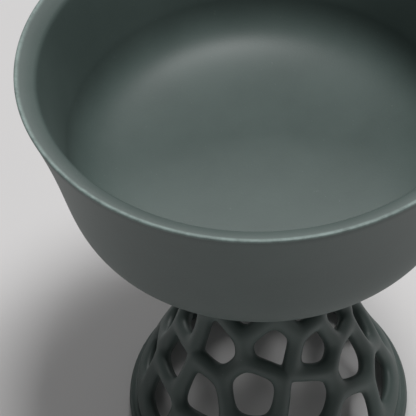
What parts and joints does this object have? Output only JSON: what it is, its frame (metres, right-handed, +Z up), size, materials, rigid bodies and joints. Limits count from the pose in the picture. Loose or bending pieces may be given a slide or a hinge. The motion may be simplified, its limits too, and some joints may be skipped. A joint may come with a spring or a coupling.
{
  "type": "stem cup",
  "caption": "Stem cup with a wide bevelled bowl on a flaring openwork foot pierced with rounded holes, in matt dark green-grey ceramic.",
  "frame": {"origin": "centre of the face it stands on, under the foot ring", "axes": "+Z up along the cup's axis, -Y towards the front of the pictured view"},
  "size_m": [0.096, 0.096, 0.118],
  "materials": {
    "matt_body": "matt",
    "luting_slip": "matt"
  },
  "bodies": {
    "root": {"bowl": "matt_body", "neck_collar": "matt_body", "neck_slip": "luting_slip", "pierced_foot": "matt_body", "base_slip": "luting_slip", "foot_ring": "matt_body"}
  },
  "joints": []
}
